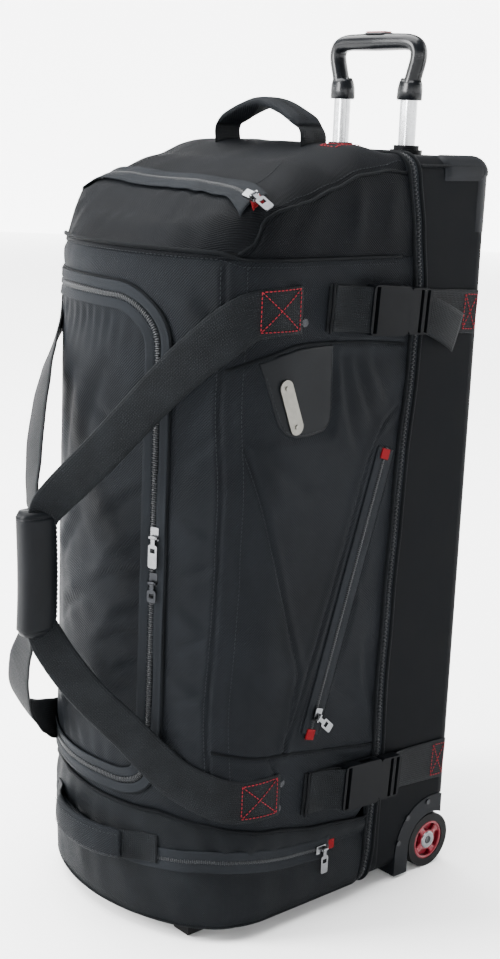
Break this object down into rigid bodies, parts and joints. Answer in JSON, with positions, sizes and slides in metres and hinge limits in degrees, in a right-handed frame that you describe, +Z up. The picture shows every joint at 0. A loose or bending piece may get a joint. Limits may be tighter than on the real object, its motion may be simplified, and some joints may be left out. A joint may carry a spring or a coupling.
{
  "type": "rolling duffel bag",
  "caption": "Upright wheeled duffel bag with a telescoping handle, perimeter zipper, buckled compression straps, wrapped haul straps and grab handles",
  "frame": {"origin": "on the floor, under the middle of the standing bag", "axes": "+X to the bag's right side, +Y to its back, where the wheels and the telescoping handle are, +Z up"},
  "size_m": [0.371, 0.54, 1.0215],
  "materials": {
    "fabric_black": "woven polyester twill, matt",
    "shell_black": "smooth laminated shell, satin",
    "webbing_black": "ribbed polyester webbing",
    "zipper_black": "nylon coil and piping",
    "tab_red": "red nylon",
    "pull_metal": "plated, satin",
    "buckle_plastic": "moulded acetal, fine texture",
    "tube_aluminium": "satin anodised",
    "grip_plastic": "moulded, semi-gloss",
    "button_red": "moulded",
    "tyre_rubber": "matt",
    "hub_red": "moulded",
    "steel": "bright",
    "housing_plastic": "moulded, fine texture",
    "board": "stiffening board",
    "leatherette": "smooth coated"
  },
  "bodies": {
    "bag": {"rear_shell": "shell_black", "frame_panel": "board", "handle_guides": "tube_aluminium", "guide_bracket": "housing_plastic", "handle_bezels": "housing_plastic", "main_compartment": "fabric_black", "front_flap": "fabric_black", "front_zipper": "zipper_black", "lower_compartment": "fabric_black", "divider": "board", "pocket_zippers": "zipper_black", "top_cap": "fabric_black", "cap_liner": "fabric_black", "perimeter_zipper": "zipper_black", "side_pocket": "fabric_black", "wheel_housings": "housing_plastic", "axles": "steel", "corner_guards": "housing_plastic", "base_board": "board", "skid_feet": "housing_plastic", "housing_screws": "steel", "front_straps": "webbing_black", "rear_straps": "webbing_black", "buckle_sockets": "buckle_plastic", "snap_rivets": "steel", "haul_strap_right": "webbing_black", "haul_strap_left": "webbing_black", "haul_wrap": "fabric_black", "top_handle": "webbing_black", "bottom_handle": "webbing_black", "fixed_sliders": "pull_metal", "zipper_end_tabs": "tab_red", "badge_patch": "leatherette", "badge_plate": "pull_metal"},
    "handle": {"handle_tubes": "tube_aluminium", "handle_grip": "grip_plastic"},
    "button": {"release_button": "button_red", "release_rods": "steel"},
    "lock_pin_right": {"lock_pin_right": "steel"},
    "lock_pin_left": {"lock_pin_left": "steel"},
    "wheel_right": {"tyre_right": "tyre_rubber", "hub_right": "hub_red", "bearings_right": "steel"},
    "wheel_left": {"tyre_left": "tyre_rubber", "hub_left": "hub_red", "bearings_left": "steel"},
    "front_slider_upper": {"front_slider_upper": "zipper_black"},
    "front_pull_upper": {"front_pull_upper": "pull_metal"},
    "front_slider_lower": {"front_slider_lower": "zipper_black"},
    "front_pull_lower": {"front_pull_lower": "zipper_black"},
    "pocket_slider": {"pocket_slider": "zipper_black"},
    "pocket_pull": {"pocket_pull": "pull_metal"},
    "cap_pull": {"cap_pull": "pull_metal"},
    "lower_pull": {"lower_pull": "pull_metal"},
    "buckle_upper_right": {"buckle_plug_upper_right": "buckle_plastic", "strap_tail_right": "webbing_black"},
    "buckle_upper_left": {"buckle_plug_upper_left": "buckle_plastic", "strap_tail_left": "webbing_black"},
    "buckle_lower_right": {"buckle_plug_lower_right": "buckle_plastic"},
    "buckle_lower_left": {"buckle_plug_lower_left": "buckle_plastic"}
  },
  "joints": [
    {"name": "handle_slide", "type": "slide", "parent": "bag", "child": "handle", "axis": [0, 0, 1], "range_m": [-0.05, 0.32]},
    {"name": "button_press", "type": "slide", "parent": "handle", "child": "button", "axis": [0, 0, -1], "range_m": [0, 0.004], "stiffness_N_per_m": 900, "springref_m": -0.004},
    {"name": "lock_pin_right_slide", "type": "slide", "parent": "handle", "child": "lock_pin_right", "axis": [-1, 0, 0], "range_m": [0, 0.003]},
    {"name": "lock_pin_left_slide", "type": "slide", "parent": "handle", "child": "lock_pin_left", "axis": [1, 0, 0], "range_m": [0, 0.003]},
    {"name": "wheel_right_spin", "type": "hinge", "parent": "bag", "child": "wheel_right", "pos_m": [0.156, 0.24, 0.035], "axis": [1, 0, 0], "continuous": true},
    {"name": "wheel_left_spin", "type": "hinge", "parent": "bag", "child": "wheel_left", "pos_m": [-0.156, 0.24, 0.035], "axis": [1, 0, 0], "continuous": true},
    {"name": "front_slider_upper_slide", "type": "slide", "parent": "bag", "child": "front_slider_upper", "axis": [0, 0, 1], "range_m": [0, 0.15]},
    {"name": "front_slider_lower_slide", "type": "slide", "parent": "bag", "child": "front_slider_lower", "axis": [0, 0, -1], "range_m": [0, 0.16]},
    {"name": "pocket_slider_slide", "type": "slide", "parent": "bag", "child": "pocket_slider", "axis": [0, 0.293, 0.9561], "range_m": [0, 0.275]},
    {"name": "front_pull_upper_swing", "type": "hinge", "parent": "front_slider_upper", "child": "front_pull_upper", "pos_m": [0.08489, -0.1492, 0.47], "axis": [-0.9419, -0.336, 0], "range_deg": [0, 150]},
    {"name": "front_pull_lower_swing", "type": "hinge", "parent": "front_slider_lower", "child": "front_pull_lower", "pos_m": [0.08489, -0.1492, 0.419], "axis": [-0.9419, -0.336, 0], "range_deg": [0, 150]},
    {"name": "pocket_pull_swing", "type": "hinge", "parent": "pocket_slider", "child": "pocket_pull", "pos_m": [0.1803, 0.02152, 0.25447], "axis": [0, -0.6636, -0.7481], "range_deg": [0, 120]},
    {"name": "cap_pull_swing", "type": "hinge", "parent": "bag", "child": "cap_pull", "pos_m": [0.15431, -0.08632, 0.83806], "axis": [-0.1586, -0.8535, -0.4964], "range_deg": [0, 120]},
    {"name": "lower_pull_swing", "type": "hinge", "parent": "bag", "child": "lower_pull", "pos_m": [0.1768, 0.046, 0.084], "axis": [0, -1, 0], "range_deg": [0, 150]},
    {"name": "buckle_upper_right_slide", "type": "slide", "parent": "bag", "child": "buckle_upper_right", "axis": [0, 0.998, -0.0628], "range_m": [0, 0.042]},
    {"name": "buckle_upper_left_slide", "type": "slide", "parent": "bag", "child": "buckle_upper_left", "axis": [0, 0.998, -0.0628], "range_m": [0, 0.042]},
    {"name": "buckle_lower_right_slide", "type": "slide", "parent": "bag", "child": "buckle_lower_right", "axis": [0, 0.998, -0.0628], "range_m": [0, 0.042]},
    {"name": "buckle_lower_left_slide", "type": "slide", "parent": "bag", "child": "buckle_lower_left", "axis": [0, 0.998, -0.0628], "range_m": [0, 0.042]}
  ],
  "couplings": [
    {"joint": "lock_pin_right_slide", "follows": "button_press", "ratio": 0.75},
    {"joint": "lock_pin_left_slide", "follows": "button_press", "ratio": 0.75}
  ]
}
